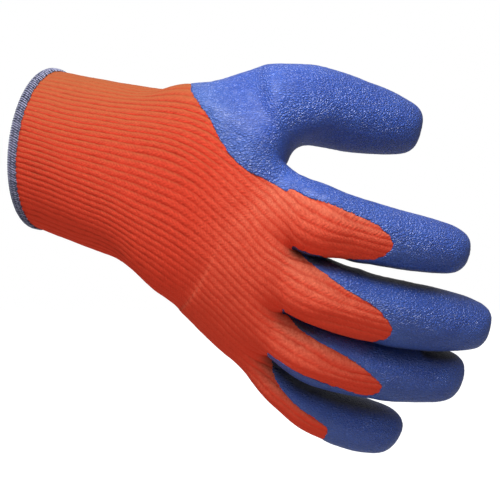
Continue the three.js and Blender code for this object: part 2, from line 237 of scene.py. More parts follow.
def digit_stations(name):
    n = ORDER.index(name)
    if name == 'thumb':
        before, lo_, hi_ = [G[3][4], G[3][5]], G[4][4], G[4][5]
    else:
        before, lo_, hi_ = [G[5][n], G[5][n + 1]], G[6][n], G[6][n + 1]
    c = [(before[0] + before[1]) / 2, (lo_ + hi_) / 2]
    a = [np.linalg.norm(hi_ - lo_) / 2]
    if name == 'thumb':      # the web below the thumb isn't part of its round section
        c = [to_mm(263, 103.5, -46), to_mm(278.5, 103.0, -44.5)]
        a = [41.8 * (c[1][1] - CAM_Y) / LENS_UNITS]
    U = [unit(hi_ - lo_)]
    th = [DIG[name][0][4] * (1.1 if name == 'thumb' else 1.0)]
    for px, py, y, hw, t, roll in DIG[name]:
        c.append(to_mm(px, py, y))
        a.append(hw * (y - CAM_Y) / LENS_UNITS)
        th.append(t)
    c = np.array(c)
    tpar = np.concatenate([[0], np.cumsum(np.linalg.norm(np.diff(c, axis=0), axis=1))])
    for j, row in enumerate(DIG[name]):
        i = j + 2
        t = unit(c[min(i + 1, len(c) - 1)] - c[i - 1])
        V0 = unit(np.array([0, -1.0, 0]) - np.dot([0, -1, 0], t) * t)
        U0 = np.cross(t, V0)
        if U0[2] < 0:
            U0 = -U0
        r = np.radians(row[5])
        U.append(np.cos(r) * U0 + np.sin(r) * V0)
    return c, tpar, np.array(a), np.array(U), np.array(th)


def digit_zone(name, ss, sub=24):
    """Rows at distances ss (mm) from the digit's root; gives each side's rows."""
    c, tp, a, U, th = digit_stations(name)
    s1 = tp[1]
    L = tp[-1] - s1
    dirn = unit(c[-1] - c[-2])
    tip0 = L - {'thumb': 3, 'little': 2}.get(name, 4)
    tipL = L + TIP[name]
    out = {'d': [], 'p': []}
    nw = WALES[name]
    j = np.arange(nw * SUB + 1) / (nw * SUB)
    ends = {'index': (1, 0), 'middle': (1, 1), 'ring': (1, 1), 'little': (0, 1), 'thumb': (0, 0)}[name]
    for s in ss:
        sc = min(s, L)
        cc = hermite(tp, c, s1 + sc)[0]
        if s > L:
            cc = cc + dirn * (s - L)
        aa = hermite(tp[1:], a, s1 + sc)[0]
        uu = unit(hermite(tp[1:], U, s1 + sc)[0])
        tt = hermite(tp[1:], th, s1 + sc)[0]
        t = unit(hermite(tp, c, s1 + min(sc + .5, L))[0] - hermite(tp, c, s1 + max(sc - .5, -1))[0])
        uu = unit(uu - np.dot(uu, t) * t * smooth01(s / 12))
        vv = unit(np.cross(uu, t))
        if vv[1] > 0:
            vv = -vv
        g = GAP * (1 - np.exp(-s / 12.0))
        lo_, hi_ = aa - g * ends[0], aa - g * ends[1]
        tau = np.clip((s - tip0) / (tipL - tip0), 0, 1)
        wa = (1 - tau**2.4) ** (1 / 2.4) * 0.68 + 0.32 * (1 - 0.15 * tau)
        wt = np.sqrt(np.maximum(1 - tau**2, 0))
        th_ = np.linspace(0, np.pi, sub + 1)
        x = -np.cos(th_)
        X = np.where(x < 0, x * lo_, x * hi_) * wa
        hgt = tt * wt * np.sin(th_) ** 0.92
        for side, sg in (('d', 1), ('p', -1)):
            P = cc + X[:, None] * uu + sg * hgt[:, None] * vv
            _, Lh = lenpos(P)
            k = smooth01((s + 2) / 26)
            squeeze = 1 - k * (1 - min(1.0, nw * WALE_PITCH / max(Lh, 1)))
            f = 0.5 + (j - 0.5) * squeeze
            f[0], f[-1] = 0, 1
            f[1], f[-2] = f[2] / 2, (1 + f[-3]) / 2
            out[side].append(resample(P, f))
    return {k: np.array(v) for k, v in out.items()}


def tip_rows(name, step):
    c, tp, a, U, th = digit_stations(name)
    L = tp[-1] - tp[1] + TIP[name]
    tipr = TIP[name] + 4
    s = [0, 1.2, 3.0]
    n = max(2, int(round((L - tipr - s[-1]) / step)))
    s += list(np.linspace(s[-1], L - tipr, n + 1)[1:])
    m = max(4, int(round(tipr * 1.35 / step)))
    s += [L - tipr + tipr * np.sin(np.pi / 2 * k / m) for k in range(1, m + 1)]
    return np.array(s)


def rows_between(s0, s1, step):
    fine = np.linspace(s0, s1, 400)
    P = np.mean([border(j, fine) for j in ((2, 3, 4) if s0 < 4 else (1, 2, 3))], 0)
    c = np.concatenate([[0], np.cumsum(np.linalg.norm(np.diff(P, axis=0), axis=1))])
    L = c[-1]
    n = int(round(L / step))
    d = np.linspace(0, L, n + 1)
    d = np.concatenate([d[d < L - 5], [L - 3.6, L - 1.4], [L]])
    s = np.interp(d, c, fine)
    s[0], s[-1] = s0, s1
    return s


def rib_numbers(row, count, widest):
    """Ribs counted along one row of a strip. Where the row is longer than its ribs are wide,
    the outermost rib on each side takes up the rest."""
    c, L = lenpos(row)
    half, n2 = L / 2, count / 2
    u = (c - 0.5) * L
    pitch = min(widest, half / n2)
    u0 = (n2 - 1) * pitch
    k = np.where(np.abs(u) < u0, np.abs(u) / pitch, n2 - 1 + (np.abs(u) - u0) / max(half - u0, 1e-6))
    return n2 + np.sign(u) * np.minimum(k, n2)


# ---------------------------------------------------------------- the welded surface
def glove_grid():
    """Quads of the whole glove's outer surface with, on each vertex, the attributes
    wale (ribs across), course (mm along), strip, side and row position."""
    fr = {d: np.linspace(0, 1, WALES[d] * SUB + 1) for d in ORDER}
    sA, sB = rows_between(0, 4, ROW), rows_between(4, 6, ROW)
    A, B = hand_zone(sA, fr), hand_zone(sB, fr)
    first = np.cumsum([0] + [WALES[d] for d in ORDER])
    verts, faces, att = [], [], []
    key = {}

    def vid(p, a):
        k = tuple(np.round(p, 3))
        if k not in key:
            key[k] = len(verts)
            verts.append(p)
            att.append(a)
        return key[k]

    def put(grid, d, side, zone, rowpos, flip, widest):
        n = ORDER.index(d)
        sgn = 0.0 if side == 'd' else 1.0
        ids = np.zeros(grid.shape[:2], int)
        for r in range(grid.shape[0]):
            rib = first[n] + rib_numbers(grid[r], WALES[d], widest[r])
            for c in range(grid.shape[1]):
                ids[r, c] = vid(grid[r, c], (rib[c], rowpos[r], n, sgn))
        for r in range(grid.shape[0] - 1):
            for c in range(grid.shape[1] - 1):
                q = [ids[r, c], ids[r, c + 1], ids[r + 1, c + 1], ids[r + 1, c]]
                if len(set(q)) < 3:
                    continue
                if flip:
                    q = q[::-1]
                faces.append((q, first[n] + c / SUB, first[n] + (c + 1) / SUB, rowpos[r], rowpos[r + 1], n, sgn, zone))

    lenA = border(2, sA)
    cA = np.concatenate([[0], np.cumsum(np.linalg.norm(np.diff(lenA, axis=0), axis=1))])
    lenB = border(2, sB)
    cB = cA[-1] + np.concatenate([[0], np.cumsum(np.linalg.norm(np.diff(lenB, axis=0), axis=1))])
    for d in ORDER:
        D = digit_zone(d, tip_rows(d, ROW))
        ss = tip_rows(d, ROW)
        for side in 'dp':
            H_ = A[d][side] if d == 'thumb' else B[d][side]
            root = H_[-1]
            off = root - D[side][0]
            f = np.linspace(0, 1, off.shape[0])
            away = {'little': np.sin(np.pi / 2 * (1 - f)), 'index': np.sin(np.pi / 2 * f), 'thumb': np.sin(np.pi / 2 * f)}.get(d, np.sin(np.pi * f))
            reach = (3.0 + 8.0 * away)[None, :]
            turn = unit(root - H_[-3]) - unit(D[side][2] - D[side][0])
            sc = ss[:, None]
            g = (D[side] + off[None] * ((1 + sc / reach) * np.exp(-sc / reach))[..., None]
                 + (turn * away[:, None])[None] * (sc * np.exp(-sc / reach))[..., None])
            g[0] = root
            flip = side == 'p'
            loose = WALE_PITCH + 1.2
            put(A[d][side], d, side, 0, cA, flip, np.full(len(cA), loose))
            if d != 'thumb':
                put(B[d][side], d, side, 1, cB, flip, np.linspace(loose, WALE_PITCH, len(cB)))
            put(g, d, side, 2, (cA[-1] if d == 'thumb' else cB[-1]) + ss, flip, np.full(len(ss), loose if d == 'thumb' else WALE_PITCH))
    return np.array(verts), faces, att, sA, sB


def smooth_joins(V, faces, sA):
    """Relaxes the surface where the digits leave the hand, so crotches and roots are rounded."""
    n = len(V)
    a, b = [], []
    for f in faces:
        q = f[0]
        for i in range(4):
            if q[i] != q[(i + 1) % 4]:
                a.append(q[i])
                b.append(q[(i + 1) % 4])
    a, b = np.array(a + b), np.array(b + a)
    deg = np.bincount(a, minlength=n)
    spots = [G[6][1], G[6][2], G[6][3], G[4][4]]
    w = np.zeros(n)
    for p, r in zip(spots, (5.5, 5.5, 5.5, 8)):
        w = np.maximum(w, np.exp(-(np.linalg.norm(V - p, axis=1) / r)**2))
    # the web between thumb and index finger is one smooth saddle on the back of the hand
    d = V - (G[4][4] + np.array([-7.0, -12.0, -4.0]))
    w = np.maximum(w, np.exp(-(np.linalg.norm(d, axis=1) / 18)**2) * smooth01((G[4][4][1] - 1.0 - V[:, 1]) / 5.0))
    for k in range(4):
        c = (G[6][k] + G[6][k + 1]) / 2
        ax = unit(c - (G[5][k] + G[5][k + 1]) / 2)
        d = V - c
        al = d @ ax
        near = np.linalg.norm(d - al[:, None] * ax, axis=1) < 26
        w = np.maximum(w, 0.9 * near * np.exp(-(al / 13)**2))
    c = (G[4][4] + G[4][5]) / 2
    ax = unit(np.array([1.0, 0.05, -0.05]))
    d = V - c
    al = d @ ax
    near = (np.linalg.norm(d - al[:, None] * ax, axis=1) < 42) & (V[:, 2] > -14)
    w = np.maximum(w, 0.8 * near * np.exp(-(al / 13)**2))
    for it in range(60):
        s = np.stack([np.bincount(b, weights=V[a][:, k], minlength=n) for k in range(3)], 1) / deg[:, None]
        step = 0.55 if it % 2 == 0 else -0.45
        V = V + (step * w)[:, None] * (s - V)
    # fill the fold that would run from the thumb's crotch across the web
    d = V - (G[4][4] + np.array([-7.5, -12.0, -4.5]))
    w = np.exp(-(np.linalg.norm(d, axis=1) / 10)**2) * smooth01((G[4][4][1] - 2.0 - V[:, 1]) / 5.0)
    for k in range(4):       # and let the back of each finger run on from the hand without a step
        c = (G[6][k] + G[6][k + 1]) / 2
        d = V - (c + np.array([-2.0, -14.0, 0.0]))
        w = np.maximum(w, 0.8 * np.exp(-(np.linalg.norm(d, axis=1) / 10)**2) * smooth01((c[1] - 3.0 - V[:, 1]) / 5.0))
    # the ball of the thumb on the palm side
    c = to_mm(222, 110, -22)
    w = np.maximum(w, np.exp(-(np.linalg.norm(V - c, axis=1) / 20)**2) * smooth01((V[:, 1] + 38.0) / 6.0))
    for it in range(36):
        s = np.stack([np.bincount(b, weights=V[a][:, k], minlength=n) for k in range(3)], 1) / deg[:, None]
        V = V + (0.5 * w)[:, None] * (s - V)
    return V


def smooth_wales(V, faces, wale):
    """Lets the ribs flow from the hand into the fingers; the borders between back and palm keep theirs."""
    n = len(V)
    side = np.zeros((n, 2), bool)
    a, b, w = [], [], []
    for f in faces:
        q = f[0]
        side[list(q), int(f[6])] = True
    q = np.array([f[0] for f in faces])
    for tri in ((0, 1, 2), (0, 2, 3), (0, 1, 3), (1, 2, 3)):
        t = q[:, tri]
        t = t[(t[:, 0] != t[:, 1]) & (t[:, 1] != t[:, 2]) & (t[:, 0] != t[:, 2])]
        for k in range(3):
            i, j, m = t[:, k], t[:, (k + 1) % 3], t[:, (k + 2) % 3]
            u, v = V[i] - V[m], V[j] - V[m]
            cot = (u * v).sum(1) / np.maximum(np.linalg.norm(np.cross(u, v), axis=1), 1e-6)
            cot = np.clip(cot, 0.0, 8.0) + 0.02
            a += [i, j]
            b += [j, i]
            w += [cot, cot]
    a, b, w = np.concatenate(a), np.concatenate(b), np.concatenate(w)
    total = np.bincount(b, weights=w, minlength=n)
    amount = np.zeros(n)
    for k in range(4):
        c = (G[6][k] + G[6][k + 1]) / 2
        amount = np.maximum(amount, np.exp(-(np.linalg.norm(V - c, axis=1) / 20)**2))
    c = (G[4][3] + G[4][4]) / 2
    amount = np.maximum(amount, np.exp(-(np.linalg.norm(V - c, axis=1) / 18)**2))
    amount[side.all(1)] = 0
    for it in range(100):
        s = np.bincount(b, weights=w * wale[a], minlength=n) / total
        wale = wale + 0.8 * amount * (s - wale)
    return wale


def to_mesh(name, V, Q, attrs=None, mats=None):
    m = bpy.data.meshes.new(name)
    m.vertices.add(len(V))
    m.vertices.foreach_set('co', np.asarray(V, np.float32).ravel())
    sizes = np.array([len(q) for q in Q])
    flat = np.concatenate([np.asarray(q) for q in Q]) if not isinstance(Q, np.ndarray) else Q.ravel()
    m.loops.add(len(flat))
    m.loops.foreach_set('vertex_index', flat.astype(np.int32))
    m.polygons.add(len(sizes))
    m.polygons.foreach_set('loop_start', np.concatenate([[0], np.cumsum(sizes)[:-1]]).astype(np.int32))
    m.polygons.foreach_set('loop_total', sizes.astype(np.int32))
    if mats is not None:
        m.polygons.foreach_set('material_index', np.asarray(mats, np.int32))
    for k, v in (attrs or {}).items():
        m.attributes.new(k, 'FLOAT', 'POINT').data.foreach_set('value', np.asarray(v, np.float32))
    m.update(calc_edges=True)
    m.validate()
    m.polygons.foreach_set('use_smooth', np.ones(len(m.polygons), bool))
    return m


def subdivided(V, Q, attrs, labels, levels):
    """Catmull-Clark through Blender, giving arrays back."""
    m = to_mesh('tmp', V, Q, attrs, labels)
    for _ in range(10):
        m.materials.append(None)
    o = bpy.data.objects.new('tmp', m)
    bpy.context.scene.collection.objects.link(o)
    s = o.modifiers.new('s', 'SUBSURF')
    s.levels = s.render_levels = levels
    s.boundary_smooth = 'ALL'
    s.use_limit_surface = True
    dg = bpy.context.evaluated_depsgraph_get()
    e = o.evaluated_get(dg).to_mesh()
    n = len(e.vertices)
    P = np.zeros(n * 3, np.float32)
    e.vertices.foreach_get('co', P)
    q = np.zeros(len(e.loops), np.int32)
    e.loops.foreach_get('vertex_index', q)
    lab = np.zeros(len(e.polygons), np.int32)
    e.polygons.foreach_get('material_index', lab)
    out = {}
    for k in attrs:
        v = np.zeros(n, np.float32)
        e.attributes[k].data.foreach_get('value', v)
        out[k] = v.astype(float)
    o.evaluated_get(dg).to_mesh_clear()
    bpy.data.objects.remove(o)
    bpy.data.meshes.remove(m)
    return P.reshape(-1, 3).astype(float), q.reshape(-1, 4), out, lab


def vertex_normals(V, Q):
    n = np.cross(V[Q[:, 2]] - V[Q[:, 0]], V[Q[:, 3]] - V[Q[:, 1]])
    out = np.zeros_like(V)
    for k in range(Q.shape[1]):
        for a in range(3):
            out[:, a] += np.bincount(Q[:, k], weights=n[:, a], minlength=len(V))
    return unit(out)


def waves(x, y, seed, n=7, lo_=0.6, hi_=1.8):
    """Smooth pseudo-random height, about -1 to 1, of two coordinates with unit wavelength."""
    r = np.random.default_rng(seed)
    out = 0
    for _ in range(n):
        a, k, p = r.uniform(0, 2 * np.pi), r.uniform(lo_, hi_) * 2 * np.pi, r.uniform(0, 2 * np.pi)
        out = out + np.sin(k * (np.cos(a) * x + np.sin(a) * y) + p)
    return out / n * 1.4


def waves3(P, scale, seed, n=10):
    r = np.random.default_rng(seed)
    out = 0
    for _ in range(n):
        k = unit(r.normal(size=3)) * 2 * np.pi / scale * r.uniform(0.6, 1.7)
        out = out + np.sin(P @ k + r.uniform(0, 2 * np.pi))
    return out / n * 1.5


def inside_distance(p, poly):
    """Signed distance to a polygon in the picture plane, positive inside."""
    a = np.array(poly, float)
    b = np.roll(a, -1, axis=0)
    best = np.full(len(p), 1e9)
    inside = np.zeros(len(p), bool)
    for (x0, y0), (x1, y1) in zip(a, b):
        d = np.array([x1 - x0, y1 - y0])
        t = np.clip(((p - [x0, y0]) @ d) / (d @ d), 0, 1)
        best = np.minimum(best, np.linalg.norm(p - ([x0, y0] + t[:, None] * d), axis=1))
        cond = (y0 > p[:, 1]) != (y1 > p[:, 1])
        with np.errstate(divide='ignore', invalid='ignore'):
            xi = x0 + (p[:, 1] - y0) * (x1 - x0) / (y1 - y0)
        inside ^= cond & (p[:, 0] < xi)
    return np.where(inside, best, -best)


# Edge of the latex on the back of the hand, in picture units: the bare knit of the
# hand and one lobe to each finger.
BARE_HAND = [(-60, 20), (191, 20), (191, 92), (199, 104), (210, 119), (220, 140), (230, 155), (240, 165), (250, 172.5), (262, 178),
             (280, 188), (290, 192.3), (300, 196), (303, 215), (300, 236), (292, 247), (297, 262), (296, 285), (290, 300), (282, 310),
             (287, 325), (285, 340), (277, 348), (267, 352.5), (270, 372), (270, 400), (250, 450), (-60, 420)]
LOBES = {
    'index': [(287, 191), (310, 198), (330, 204), (350, 213), (370, 221.5), (382, 229), (390, 237.5), (393, 245), (389, 252), (378, 258.5), (352, 259.6), (324, 257.3), (305, 252.5), (294, 246.5), (280, 230)],
    'middle': [(292, 249), (305, 258.5), (324, 273), (343, 287.5), (361, 298.5), (376, 308), (387, 320), (392, 330), (387, 338), (372, 342), (347, 341), (318, 332), (297, 320), (283, 310), (268, 290)],
    'ring': [(284, 314), (297, 327), (318, 341), (333, 349), (353, 361), (371, 375), (381, 385), (379, 392), (368, 395.5), (356, 393.5), (338, 387.5), (318, 381), (299, 373), (281, 362), (268, 352), (260, 335)],
    'little': [(268, 358), (274, 377), (286, 394.5), (300, 408.5), (315, 418.5), (327, 428.5), (325, 437), (316, 446), (300, 450), (245, 400)],
}


def rounded(poly, n=5):
    """Closed Catmull-Rom curve through a polygon's corners."""
    p = np.array(poly, float)
    out = []
    for i in range(len(p)):
        p0, p1, p2, p3 = p[i - 1], p[i], p[(i + 1) % len(p)], p[(i + 2) % len(p)]
        for t in np.arange(n) / n:
            out.append(0.5 * (2 * p1 + (p2 - p0) * t + (2 * p0 - 5 * p1 + 4 * p2 - p3) * t * t + (3 * p1 - p0 - 3 * p2 + p3) * t**3))
    return np.array(out)


# ---------------------------------------------------------------- how open each place is
def openness(V, Q, reach=26.0, rays=64):
    """Share of the half space above each vertex that no other part of the glove closes within reach."""
    quads = np.array([q if len(q) == 4 else q + q[-1:] for q in Q])
    n = vertex_normals(V, quads)
    if (V[quads[:, 0]] * np.cross(V[quads[:, 1]] - V[quads[:, 0]], V[quads[:, 2]] - V[quads[:, 0]])).sum() < 0:
        n = -n
    tree = BVHTree.FromPolygons([Vector(p) for p in V], [list(map(int, q)) for q in Q])
    i = np.arange(rays) + 0.5
    r, a = np.sqrt(i / rays), np.pi * (1 + 5**0.5) * i
    local = np.stack([r * np.cos(a), r * np.sin(a), np.sqrt(1 - r * r)], 1)
    out = np.zeros(len(V))
    for j in range(len(V)):
        t = unit(np.cross(n[j], [0.31, 0.57, 0.76]))
        D = local @ np.array([t, np.cross(n[j], t), n[j]])
        o = Vector(V[j] + n[j] * 1.2)
        free = 0.0
        for d in D:
            hit = tree.ray_cast(o, Vector(d), reach)
            free += 1.0 if hit[0] is None else 0.6 * hit[3] / reach
        out[j] = free / rays
    return out


# ---------------------------------------------------------------- build the surface
V0, F0, A0, sA, sB = glove_grid()
V0 = smooth_joins(V0, F0, sA)
Q0, L0 = [], []
for f in F0:
    q = []
    for i in f[0]:
        if i not in q:
            q.append(i)
    Q0.append(q)
    L0.append(f[5] + 5 * int(f[6]))
A0 = np.array(A0)
A0[:, 0] = smooth_wales(V0, F0, A0[:, 0])
V, Q, att, lab = subdivided(V0, Q0, {'wale': A0[:, 0], 'course': A0[:, 1], 'open': openness(V0, Q0)}, L0, 2)
N = vertex_normals(V, Q)
vol = np.einsum('ij,ij->i', V[Q[:, 0]], np.cross(V[Q[:, 1]], V[Q[:, 2]])).sum() + np.einsum('ij,ij->i', V[Q[:, 0]], np.cross(V[Q[:, 2]], V[Q[:, 3]])).sum()
if vol < 0:
    Q = Q[:, ::-1]
    N = vertex_normals(V, Q)

# ---------------------------------------------------------------- where the latex lies
def coat_field(V, N, att, Q, lab):
    """Distance in mm past the latex's edge, positive where the knit is coated."""
    n = len(V)
    strip = np.zeros(n, int)
    palm = np.zeros(n)
    cnt = np.zeros(n)
    for k in range(4):
        np.add.at(palm, Q[:, k], (lab >= 5).astype(float))
        np.add.at(cnt, Q[:, k], 1.0)
        strip[Q[:, k]] = lab % 5
    palm = palm / np.maximum(cnt, 1)
    px = to_px(V)
    k = (V[:, 1] - CAM_Y) / LENS_UNITS
    sd = inside_distance(px, BARE_HAND)
    root = att['course'] < COURSE_ROOT + 14
    sd = np.where(root, sd, -60)
    for d, poly in LOBES.items():
        m = strip == ORDER.index(d)
        sd[m] = np.maximum(sd[m], inside_distance(px[m], rounded(poly)))
    back = -sd * k
    # palm: a line across the heel of the hand and one up the little finger's edge
    w, c = att['wale'], att['course']
    line = COURSE_EDGE - 9 * smooth01((TOTAL_WALES - w) / 24)
    across = c - line
    ulna = w * 3.9 - 5 + 9 * smooth01((c - (COURSE_LITTLE - 10)) / 14)
    q = np.minimum(across, ulna)
    both = (across < 14) & (ulna < 14)
    r = 14 - np.sqrt(np.maximum(14 - across, 0)**2 + np.maximum(14 - ulna, 0)**2)
    front = np.where(both, r, q)
    return back * (1 - palm) + front * palm, strip, palm, px


edge5 = border(5, np.linspace(0, 4, 200))
cb = border(2, np.linspace(0, 6, 601))
cc_ = np.concatenate([[0], np.cumsum(np.linalg.norm(np.diff(cb, axis=0), axis=1))])
COURSE_ROOT = cc_[-1]
s_edge = np.interp(191, to_px(edge5)[:, 0], np.linspace(0, 4, 200))
COURSE_EDGE = float(np.interp(s_edge, np.linspace(0, 6, 601), cc_))
COURSE_LITTLE = COURSE_ROOT + 38
F, strip, palm, PX = coat_field(V, N, att, Q, lab)

# ---------------------------------------------------------------- knit relief
RIB_DEPTH = 0.36


def rib_height(wale, course):
    wob = 0.09 * waves(course / 22, wale / 5.0, 3) + 0.06 * waves(course / 6, wale / 1.6, 4)
    u = wale + wob
    f = u - np.floor(u)
    g = np.minimum(f, 1 - f)
    line = np.floor(u + 0.5)
    depth = 0.84 + 0.30 * waves(course / 16, line * 3.7, 5) + 0.30 * waves(course / 5, line * 5.3, 6) + 0.22 * waves(course / 60, wale / 9, 7)
    depth = np.clip(depth, 0.3, 1.5)
    groove = np.exp(-(g / (0.135 + 0.035 * waves(course / 11, line * 1.9, 9)))**2)
    crown = -0.16 * (1 - 2 * g)**2
    # rows of stitches: a shallow chevron on each rib
    leg = course / 2.3 + np.abs(f - 0.5) * 1.1 + 0.25 * waves(course / 9, line * 2.1, 8)
    stitch = 0.014 * np.sin(2 * np.pi * leg)
    depth = depth * (1 - 0.38 * smooth01((course - 92) / 24))
    return -RIB_DEPTH * groove * depth + crown + stitch, f


H, frac = rib_height(att['wale'], att['course'])
lump = 0.22 * waves3(V, 24, 11) + 0.10 * waves3(V, 9, 12)
knit_h = H + lump * 0.8 + 0.05 * waves3(V, 2.4, 13, 16)
# ---------------------------------------------------------------- latex relief
F = F + 0.08 * np.cos(2 * np.pi * frac) + 0.26 * waves3(V, 5.0, 61) + 0.07 * waves3(V, 1.8, 62)


def snapped(V, Q, F, reach=0.5):
    """Moves the vertices nearest the line F = 0 along their edges onto it."""
    e = np.concatenate([Q[:, [0, 1]], Q[:, [1, 2]], Q[:, [2, 3]], Q[:, [3, 0]]])
    e = e[(F[e[:, 0]] < 0) != (F[e[:, 1]] < 0)]
    t = F[e[:, 0]] / (F[e[:, 0]] - F[e[:, 1]])
    X = V[e[:, 0]] * (1 - t[:, None]) + V[e[:, 1]] * t[:, None]
    who = np.where(t < 0.5, e[:, 0], e[:, 1])
    far = np.where(t < 0.5, t, 1 - t)
    order = np.argsort(-far)
    V, F = V.copy(), F.copy()
    V[who[order]] = X[order]
    F[who] = 0.0
    return V, F


VS, F = snapped(V, Q, F)
coat_ramp = 0.12 + 0.10 * smooth01(F / 0.5) + 0.38 * smooth01(F / 4.0)
crinkle = 0.08 * waves3(V * [1.0, 1.7, 1.7], 3.2, 21, 16) + 0.07 * waves3(V, 2.0, 22, 16)
coat_h = coat_ramp + lump * 0.8 + 0.20 * H * smooth01(1 - F / 60) + crinkle * smooth01((F + 0.2) / 3)


def keep(Q, ok):
    q = Q[ok[Q].any(axis=1)]
    used, inv = np.unique(q, return_inverse=True)
    return used, inv.reshape(q.shape)


M_ = 0.001


def add_object(name, mesh, mat):
    o = bpy.data.objects.new(name, mesh)
    bpy.context.scene.collection.objects.link(o)
    mesh.materials.clear()
    mesh.materials.append(mat)
    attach(o, 'root')
    return o


# ---------------------------------------------------------------- materials
def material(name):
    m = bpy.data.materials.new(name)
    m.use_nodes = True
    nt = m.node_tree
    nt.nodes.clear()
    out = nt.nodes.new('ShaderNodeOutputMaterial')
    b = nt.nodes.new('ShaderNodeBsdfPrincipled')
    nt.links.new(b.outputs[0], out.inputs[0])
    return m, nt, b


def node(nt, kind, inputs=None, **props):
    n = nt.nodes.new(kind)
    for k, v in props.items():
        setattr(n, k, v)
    for k, v in (inputs or {}).items():
        if isinstance(v, bpy.types.NodeSocket):
            nt.links.new(v, n.inputs[k])
        else:
            n.inputs[k].default_value = v
    return n


def math_(nt, op, a, b=0.0, c=None):
    d = {0: a, 1: b}
    if c is not None:
        d[2] = c
    return node(nt, 'ShaderNodeMath', d, operation=op).outputs[0]


def ramp(nt, fac, stops):
    n = nt.nodes.new('ShaderNodeValToRGB')
    nt.links.new(fac, n.inputs[0])
    e = n.color_ramp.elements
    while len(e) < len(stops):
        e.new(0.5)
    for s, (p, c) in zip(e, stops):
        s.position = p
        s.color = (*c, 1) if len(c) == 3 else c
    return n.outputs[0]


def mix(nt, fac, a, b, mode='MIX'):
    n = nt.nodes.new('ShaderNodeMix')
    n.data_type = 'RGBA'
    n.blend_type = mode
    for i, v in ((0, fac), (6, a), (7, b)):
        if isinstance(v, bpy.types.NodeSocket):
            nt.links.new(v, n.inputs[i])
        else:
            n.inputs[i].default_value = v if i == 0 else (*v, 1)
    return n.outputs[2]


def lin(c):
    return tuple(((v / 255 + 0.055) / 1.055)**2.4 if v / 255 > 0.04045 else v / 255 / 12.92 for v in c)


